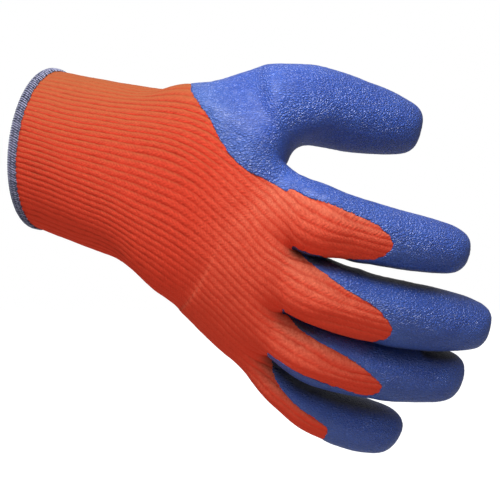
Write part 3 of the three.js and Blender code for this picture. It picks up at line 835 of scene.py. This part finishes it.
def knit_material(name='knit_orange'):
    m, nt, b = material(name)
    wale = node(nt, 'ShaderNodeAttribute', attribute_name='wale').outputs['Fac']
    course = node(nt, 'ShaderNodeAttribute', attribute_name='course').outputs['Fac']
    relief = node(nt, 'ShaderNodeAttribute', attribute_name='relief').outputs['Fac']
    co = node(nt, 'ShaderNodeTexCoord').outputs['Object']
    fuzz = node(nt, 'ShaderNodeTexNoise', {'Vector': co, 'Scale': 1150.0, 'Detail': 3.0, 'Roughness': 0.75}).outputs['Fac']
    blot = node(nt, 'ShaderNodeTexNoise', {'Vector': co, 'Scale': 60.0, 'Detail': 3.0}).outputs['Fac']
    # stitch legs: a chevron on each rib
    f = math_(nt, 'FRACT', wale)
    tri = math_(nt, 'ABSOLUTE', math_(nt, 'SUBTRACT', f, 0.5))
    leg = math_(nt, 'ADD', math_(nt, 'DIVIDE', course, 1.75), math_(nt, 'MULTIPLY', tri, 1.7))
    st = math_(nt, 'SINE', math_(nt, 'MULTIPLY', leg, 6.2832))
    st = math_(nt, 'MULTIPLY', math_(nt, 'ADD', st, 1.0), 0.5)
    # painted shade: the rib grooves are coloured darker and the crowns lighter, by rib height
    col = ramp(nt, relief, [(0.0, lin((134, 32, 22))), (0.35, lin((172, 50, 34))), (0.7, lin((196, 66, 46))), (1.0, lin((204, 74, 52)))])
    # painted light: past the finger roots the knit is coloured paler, most of all on the rib crowns
    over = node(nt, 'ShaderNodeMapRange', {'Value': course, 'From Min': 98.0, 'From Max': 120.0, 'To Min': 0.0, 'To Max': 0.85}).outputs[0]
    col = mix(nt, math_(nt, 'MULTIPLY', over, math_(nt, 'POWER', relief, 1.3)), col, lin((228, 128, 98)))
    col = mix(nt, math_(nt, 'MULTIPLY', math_(nt, 'SUBTRACT', 1.0, st), 0.14), col, lin((168, 36, 26)))
    # yarn that is thicker here and thinner there, along the ribs
    run = node(nt, 'ShaderNodeCombineXYZ', {0: math_(nt, 'MULTIPLY', wale, 1.4), 1: math_(nt, 'MULTIPLY', course, 0.16)}).outputs[0]
    streak = node(nt, 'ShaderNodeTexNoise', {'Vector': run, 'Scale': 2.4, 'Detail': 3.0, 'Roughness': 0.65}).outputs['Fac']
    col = mix(nt, node(nt, 'ShaderNodeMapRange', {'Value': streak, 'From Min': 0.45, 'From Max': 0.75, 'To Min': 0.0, 'To Max': 0.5}).outputs[0], col, lin((160, 38, 26)))
    col = mix(nt, node(nt, 'ShaderNodeMapRange', {'Value': streak, 'From Min': 0.5, 'From Max': 0.25, 'To Min': 0.0, 'To Max': 0.4}).outputs[0], col, lin((226, 98, 66)))
    col = mix(nt, math_(nt, 'MULTIPLY', blot, 0.20), col, lin((222, 92, 60)))
    col = mix(nt, node(nt, 'ShaderNodeMapRange', {'Value': fuzz, 'From Min': 0.35, 'From Max': 0.7, 'To Min': 0.0, 'To Max': 0.42}).outputs[0], col, lin((164, 34, 24)))
    # painted light and shade: knit facing up in the world is tinted a duller brown-orange, as where lit from above, and
    # knit facing down a stronger red, as where shaded
    nz = node(nt, 'ShaderNodeSeparateXYZ', {0: node(nt, 'ShaderNodeNewGeometry').outputs['Normal']}).outputs['Z']
    lit_top_tint = node(nt, 'ShaderNodeMapRange', {'Value': nz, 'From Min': 0.0, 'From Max': 0.85, 'To Min': 0.0, 'To Max': 0.85}).outputs[0]
    shaded_underside_tint = node(nt, 'ShaderNodeMapRange', {'Value': nz, 'From Min': 0.25, 'From Max': -0.6, 'To Min': 0.0, 'To Max': 0.9}).outputs[0]
    lit_top_tint = math_(nt, 'MULTIPLY', lit_top_tint, math_(nt, 'SUBTRACT', 1.0, math_(nt, 'MULTIPLY', over, 1.9)))
    patch = node(nt, 'ShaderNodeTexNoise', {'Vector': co, 'Scale': 380.0, 'Detail': 2.0}).outputs['Fac']
    patch = node(nt, 'ShaderNodeMapRange', {'Value': patch, 'From Min': 0.42, 'From Max': 0.68, 'To Min': 0.0, 'To Max': 0.30}).outputs[0]
    col = mix(nt, patch, col, lin((176, 44, 30)))
    col = mix(nt, lit_top_tint, col, lin((150, 84, 48)))
    col = mix(nt, shaded_underside_tint, col, lin((255, 70, 46)))
    nt.links.new(col, b.inputs['Base Color'])
    b.inputs['Roughness'].default_value = 0.95
    b.inputs['Specular IOR Level'].default_value = 0.15
    b.inputs['Sheen Weight'].default_value = 0.12
    b.inputs['Sheen Roughness'].default_value = 0.6
    b.inputs['Sheen Tint'].default_value = (*lin((235, 150, 100)), 1)
    h = math_(nt, 'ADD', math_(nt, 'MULTIPLY', st, 0.28), math_(nt, 'MULTIPLY', fuzz, 1.0))
    bp = node(nt, 'ShaderNodeBump', {'Strength': 0.55, 'Distance': 0.0006, 'Height': h})
    nt.links.new(bp.outputs[0], b.inputs['Normal'])
    return m


def latex_material():
    m, nt, b = material('latex_blue')
    co = node(nt, 'ShaderNodeTexCoord').outputs['Object']
    sq = node(nt, 'ShaderNodeVectorMath', {0: co, 1: (0.62, 1.0, 1.0)}, operation='MULTIPLY').outputs['Vector']
    warp = node(nt, 'ShaderNodeTexNoise', {'Vector': sq, 'Scale': 300.0, 'Detail': 2.0}).outputs['Color']
    wv = node(nt, 'ShaderNodeVectorMath', {0: warp, 1: (0.0022, 0.0022, 0.0022)}, operation='MULTIPLY').outputs['Vector']
    wv = node(nt, 'ShaderNodeVectorMath', {0: wv, 1: sq}, operation='ADD').outputs['Vector']
    cr = node(nt, 'ShaderNodeTexVoronoi', {'Vector': wv, 'Scale': 880.0, 'Randomness': 1.0}, feature='DISTANCE_TO_EDGE').outputs['Distance']
    cr = node(nt, 'ShaderNodeMapRange', {'Value': cr, 'From Min': 0.0, 'From Max': 0.35, 'To Min': 0.0, 'To Max': 1.0}).outputs[0]
    cr2 = node(nt, 'ShaderNodeTexNoise', {'Vector': sq, 'Scale': 1100.0, 'Detail': 4.0, 'Roughness': 0.65}).outputs['Fac']
    blot = node(nt, 'ShaderNodeTexNoise', {'Vector': co, 'Scale': 90.0, 'Detail': 4.0, 'Roughness': 0.6}).outputs['Fac']
    col = ramp(nt, blot, [(0.3, lin((50, 86, 184))), (0.7, lin((68, 106, 204)))])
    # painted shade: the crinkle's crevices, at the cell edges, are coloured darker
    col = mix(nt, math_(nt, 'MULTIPLY', math_(nt, 'SUBTRACT', 1.0, cr), 0.45), col, lin((32, 52, 122)))
    col = mix(nt, math_(nt, 'MULTIPLY', cr2, 0.30), col, lin((44, 70, 148)))
    # painted highlight: the latex is coloured paler towards its edge where it lies open on the back of the hand;
    # painted shade: it is coloured near-black where the glove closes it in
    past = node(nt, 'ShaderNodeAttribute', attribute_name='past_edge').outputs['Fac']
    painted_edge_highlight = node(nt, 'ShaderNodeMapRange', {'Value': past, 'From Min': 1.0, 'From Max': 18.0, 'To Min': 0.26, 'To Max': 0.0}).outputs[0]
    sky = node(nt, 'ShaderNodeAttribute', attribute_name='open').outputs['Fac']
    clear = node(nt, 'ShaderNodeMapRange', {'Value': sky, 'From Min': 0.82, 'From Max': 0.97}).outputs[0]
    course = node(nt, 'ShaderNodeAttribute', attribute_name='course').outputs['Fac']
    hand = node(nt, 'ShaderNodeMapRange', {'Value': course, 'From Min': 92.0, 'From Max': 116.0, 'To Min': 1.0, 'To Max': 0.25}).outputs[0]
    # painted highlight, pale towards the latex's edge
    col = mix(nt, math_(nt, 'MULTIPLY', math_(nt, 'MULTIPLY', painted_edge_highlight, clear), hand), col, lin((102, 128, 168)))
    # painted shade: near-black where other parts of the glove close the latex in, from the stored openness
    dark = node(nt, 'ShaderNodeMapRange', {'Value': sky, 'From Min': 0.84, 'From Max': 0.50, 'To Min': 0.0, 'To Max': 0.95}).outputs[0]
    col = mix(nt, dark, col, lin((10, 12, 44)))
    nt.links.new(col, b.inputs['Base Color'])
    b.inputs['Roughness'].default_value = 0.34
    b.inputs['Specular IOR Level'].default_value = 0.65
    b.inputs['Coat Weight'].default_value = 0.16
    b.inputs['Coat Roughness'].default_value = 0.36
    h = math_(nt, 'ADD', math_(nt, 'MULTIPLY', cr, 1.0), math_(nt, 'MULTIPLY', cr2, 1.3))
    bp = node(nt, 'ShaderNodeBump', {'Strength': 0.8, 'Distance': 0.00055, 'Height': h})
    nt.links.new(bp.outputs[0], b.inputs['Normal'])
    return m


def thread_material(name, c1, c2, scale=1800.0):
    m, nt, b = material(name)
    co = node(nt, 'ShaderNodeTexCoord').outputs['Object']
    nz = node(nt, 'ShaderNodeTexNoise', {'Vector': co, 'Scale': scale, 'Detail': 3.0}).outputs['Fac']
    nt.links.new(ramp(nt, nz, [(0.3, lin(c1)), (0.7, lin(c2))]), b.inputs['Base Color'])
    b.inputs['Roughness'].default_value = 0.85
    b.inputs['Sheen Weight'].default_value = 0.2
    bp = node(nt, 'ShaderNodeBump', {'Strength': 0.4, 'Distance': 0.0002, 'Height': nz})
    nt.links.new(bp.outputs[0], b.inputs['Normal'])
    return m


MAT_KNIT, MAT_LATEX = knit_material(), latex_material()

# ---------------------------------------------------------------- knit and latex pieces
used, q = keep(Q, F < 1.8)
VK = V + N * knit_h[:, None]
# rib height, 0 in the grooves to 1 on the crowns; the knit material paints shade into the grooves with it
relief = np.clip(1 + H / 0.5, 0, 1)
mesh = to_mesh('knit_liner', VK[used] * M_, q, {'wale': att['wale'][used], 'course': att['course'][used], 'relief': relief[used]})
knit = add_object('knit_liner', mesh, MAT_KNIT)

qc = Q[(F[Q] >= 0).all(axis=1) & (F[Q] > 0).any(axis=1)]
VC = VS + N * coat_h[:, None]
e = np.concatenate([qc[:, [0, 1]], qc[:, [1, 2]], qc[:, [2, 3]], qc[:, [3, 0]]])
code = e.min(1).astype(np.int64) * len(V) + e.max(1)
u_, first_i, counts = np.unique(code, return_index=True, return_counts=True)
rim = e[first_i[counts == 1]]
rimv, inv = np.unique(rim, return_inverse=True)
inv = inv.reshape(rim.shape)
low = VS[rimv] - N[rimv] * 0.9
nb = len(V)
VC2 = np.vstack([VC, low])
q2 = np.stack([rim[:, 1], rim[:, 0], nb + inv[:, 0], nb + inv[:, 1]], 1)
qq_ = np.vstack([qc, q2])
used, inv = np.unique(qq_, return_inverse=True)
past = np.concatenate([F, np.zeros(len(low))])
# openness, which the latex material turns into painted shade in the gaps
sky = np.concatenate([att['open'], att['open'][rimv]])
far = np.concatenate([att['course'], att['course'][rimv]])
mesh = to_mesh('latex_dip', VC2[used] * M_, inv.reshape(qq_.shape), {'past_edge': past[used], 'open': sky[used], 'course': far[used]})
coat = add_object('latex_dip', mesh, MAT_LATEX)

# the inside of the liner, seen through the wrist opening
V1, Q1, att1, lab1 = subdivided(V0, Q0, {'wale': A0[:, 0], 'course': A0[:, 1]}, L0, 1)
if vol < 0:
    Q1 = Q1[:, ::-1]
N1 = vertex_normals(V1, Q1)
VI = V1 - N1 * 2.4
ok = att1['course'] < 78
used, q = keep(Q1, ok)
f1 = att1['wale'] - np.floor(att1['wale'])
mesh = to_mesh('knit_inside', VI[used] * M_, q[:, ::-1], {'wale': att1['wale'][used], 'course': att1['course'][used], 'relief': np.full(len(used), 0.6)})
inside = add_object('knit_inside', mesh, MAT_KNIT)

# ---------------------------------------------------------------- overlocked edge
row = hand_zone(np.array([0.0, 0.05]), {d: np.linspace(0, 1, 25) for d in ORDER})
ring = np.concatenate([row[d]['d'][0][:-1] for d in ORDER] + [row[d]['p'][0][::-1][:-1] for d in ORDER[::-1]])
ring_in = np.concatenate([row[d]['d'][1][:-1] for d in ORDER] + [row[d]['p'][1][::-1][:-1] for d in ORDER[::-1]])


def ring_frames(n):
    P = np.vstack([ring, ring[:1]])
    c, L = lenpos(P)
    f = np.linspace(0, 1, n, endpoint=False)
    R = np.stack([np.interp(f, c, P[:, a]) for a in range(3)], 1)
    centre = ring.mean(0)
    ax = unit(ring.mean(0) - ring_in.mean(0))
    T = unit(np.roll(R, -1, 0) - np.roll(R, 1, 0))
    O = unit(np.cross(T, ax))
    if ((R - centre) * O).sum() < 0:
        O = -O
    return R, T, O, ax, L


def tube(paths, radius, sides=6):
    """Quads of round tubes along many paths: paths is (count, points, 3)."""
    c, n, _ = paths.shape
    t = unit(np.gradient(paths, axis=1))
    ref = unit(np.broadcast_to(np.array([0.31, 0.57, 0.76]), t.shape) + 0 * t)
    u = unit(np.cross(t, ref))
    v = np.cross(t, u)
    a = np.arange(sides) / sides * 2 * np.pi
    P = paths[:, :, None] + radius * (np.cos(a)[None, None, :, None] * u[:, :, None] + np.sin(a)[None, None, :, None] * v[:, :, None])
    idx = np.arange(c * n * sides).reshape(c, n, sides)
    A_ = idx[:, :-1]
    B_ = idx[:, 1:]
    q = np.stack([A_, np.roll(A_, -1, 2), np.roll(B_, -1, 2), B_], -1).reshape(-1, 4)
    return P.reshape(-1, 3), q


# core of the band: a rounded profile swept round the opening. (along the cuff outwards, outwards from the cloth)
PROFILE = [(-3.6, -0.2), (-2.9, 0.42), (-1.7, 0.62), (-0.4, 0.60), (0.7, 0.25), (1.25, -0.6), (1.3, -1.6), (0.8, -2.5), (-0.4, -3.05), (-2.0, -3.1), (-3.6, -2.9), (-4.6, -2.3)]
R, T, O, AX, RIM = ring_frames(560)
prof = np.array(PROFILE)
jit = 0.10 * waves(np.arange(560) / 6.0, np.zeros(560), 31)
PB = R[:, None] + prof[None, :, 0:1] * AX + (prof[None, :, 1:2] + jit[:, None, None]) * O[:, None]
n, k = 560, len(PROFILE)
idx = np.arange(n * k).reshape(n, k)
nx = np.roll(idx, -1, 0)
qb = np.stack([idx, np.roll(idx, -1, 1), np.roll(nx, -1, 1), nx], -1).reshape(-1, 4)
mesh = to_mesh('hem_band', PB.reshape(-1, 3) * M_, qb)
hem = add_object('hem_band', mesh, thread_material('hem_core', (44, 48, 62), (80, 84, 104)))


def rim_threads(pitch, phase, spec, lean, radius, seed):
    """Thread loops over the edge. spec rows are (along, outward, share of the lean)."""
    n = int(round(RIM / pitch))
    R, T, O, AX, _ = ring_frames(n * 4)
    r = np.random.default_rng(seed)
    spec = np.array(spec)
    m = 15
    tt = np.linspace(0, 1, m)
    s = hermite(np.linspace(0, 1, len(spec)), spec, tt)
    base = (np.arange(n) * 4 + phase * 4).astype(float)
    base += r.uniform(-0.35, 0.35, n)
    pos = base[:, None] + lean * 4 * s[None, :, 2]
    i0 = np.floor(pos).astype(int)
    fr_ = (pos - i0)[..., None]
    Rr = R[i0 % (4 * n)] * (1 - fr_) + R[(i0 + 1) % (4 * n)] * fr_
    Oo = unit(O[i0 % (4 * n)] * (1 - fr_) + O[(i0 + 1) % (4 * n)] * fr_)
    jo = r.uniform(-0.06, 0.08, (n, 1))
    ja = r.uniform(-0.45, 0.35, (n, 1)) * (s[None, :, 0] < -2)
    P = Rr + (s[None, :, 0:1] + ja[..., None]) * AX + (s[None, :, 1:2] + jo[..., None]) * Oo
    return tube(P, radius)


OVER = [(-4.0, 0.35, 0), (-2.8, 0.75, 0.22), (-1.4, 0.92, 0.45), (0.2, 0.80, 0.62), (1.35, 0.0, 0.75), (1.6, -1.3, 0.85), (1.1, -2.7, 0.95), (-0.6, -3.4, 1.05), (-3.0, -3.4, 1.3), (-4.8, -2.9, 1.5)]
Pa, qa = rim_threads(1.2, 0.0, OVER, 1.5, 0.26, 41)
Pb, qb2 = rim_threads(1.2, 0.5, OVER, -1.5, 0.26, 42)
mesh = to_mesh('hem_threads_light', Pa * M_, qa)
hemA = add_object('hem_threads_light', mesh, thread_material('hem_light', (126, 126, 160), (178, 178, 206)))
mesh = to_mesh('hem_threads_dark', Pb * M_, qb2)
hemB = add_object('hem_threads_dark', mesh, thread_material('hem_dark', (50, 56, 82), (82, 88, 116)))

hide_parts('knit_hand', 'knit_thumb', 'knit_index', 'knit_middle', 'knit_ring', 'knit_little')
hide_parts('latex_coating')
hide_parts('cuff_hem')

# ---------------------------------------------------------------- floor, light and camera
mesh = bpy.data.meshes.new('floor')
mesh.from_pydata([(-6, -6, 0), (6, -6, 0), (6, 6, 0), (-6, 6, 0)], [], [(0, 1, 2, 3)])
floor = bpy.data.objects.new('floor', mesh)
floor.location = (0.1, 0, -0.30)
bpy.context.scene.collection.objects.link(floor)
fm, nt, b = material('floor_white')
b.inputs['Base Color'].default_value = (0.45, 0.45, 0.45, 1)
b.inputs['Roughness'].default_value = 0.9
b.inputs['Specular IOR Level'].default_value = 0.1
geo = node(nt, 'ShaderNodeNewGeometry').outputs['Position']
dist = node(nt, 'ShaderNodeVectorMath', {0: geo, 1: (0.1, 0.0, -0.3)}, operation='DISTANCE').outputs['Value']
glow = node(nt, 'ShaderNodeMapRange', {'Value': dist, 'From Min': 0.3, 'From Max': 0.9, 'To Min': 0.62, 'To Max': 1.05}).outputs[0]
seen = node(nt, 'ShaderNodeLightPath').outputs['Is Camera Ray']
b.inputs['Emission Color'].default_value = (1, 1, 1, 1)
nt.links.new(math_(nt, 'MULTIPLY', glow, seen), b.inputs['Emission Strength'])
mesh.materials.append(fm)

w = bpy.data.worlds.new('studio')
bpy.context.scene.world = w
w.use_nodes = True
nt = w.node_tree
bg = nt.nodes['Background']
dirn = node(nt, 'ShaderNodeTexCoord').outputs['Generated']
sep = node(nt, 'ShaderNodeSeparateXYZ', {0: dirn})
up = node(nt, 'ShaderNodeMapRange', {'Value': sep.outputs['Z'], 'From Min': -0.3, 'From Max': 1.0, 'To Min': 0.04, 'To Max': 0.48}).outputs[0]
seen = node(nt, 'ShaderNodeLightPath').outputs['Is Camera Ray']
bg.inputs[0].default_value = (1, 1, 1, 1)
nt.links.new(math_(nt, 'ADD', math_(nt, 'MULTIPLY', up, math_(nt, 'SUBTRACT', 1.0, seen)), seen), bg.inputs[1])


def area(name, loc, target, size, power, color=(1, 1, 1)):
    l = bpy.data.lights.new(name, 'AREA')
    l.shape = 'DISK'
    l.size = size
    l.energy = power
    l.color = color
    o = bpy.data.objects.new(name, l)
    o.location = loc
    d = Vector(target) - Vector(loc)
    o.rotation_euler = d.to_track_quat('-Z', 'Y').to_euler()
    bpy.context.scene.collection.objects.link(o)
    return o


area('key', (0.04, -0.32, 0.40), (0.1, -0.03, -0.02), 0.28, 3.3)
area('fill', (-0.02, -0.82, 0.60), (0.1, -0.03, -0.04), 0.6, 3.0)
area('back', (0.14, 0.80, 0.30), (0.1, -0.03, -0.06), 0.6, 1.8).visible_glossy = False

cam = bpy.data.cameras.new('camera')
cam.lens = 36.0 * LENS_UNITS / 500
cam.sensor_width = 36.0
cam.clip_start = 0.01
cam.clip_end = 50
co = bpy.data.objects.new('camera', cam)
co.location = (CAM_X / 1000, CAM_Y / 1000, CAM_Z / 1000)
co.rotation_euler = (math.radians(90), 0, 0)
bpy.context.scene.collection.objects.link(co)
bpy.context.scene.camera = co
bpy.context.scene.view_settings.view_transform = 'Standard'
bpy.context.scene.view_settings.look = 'None'
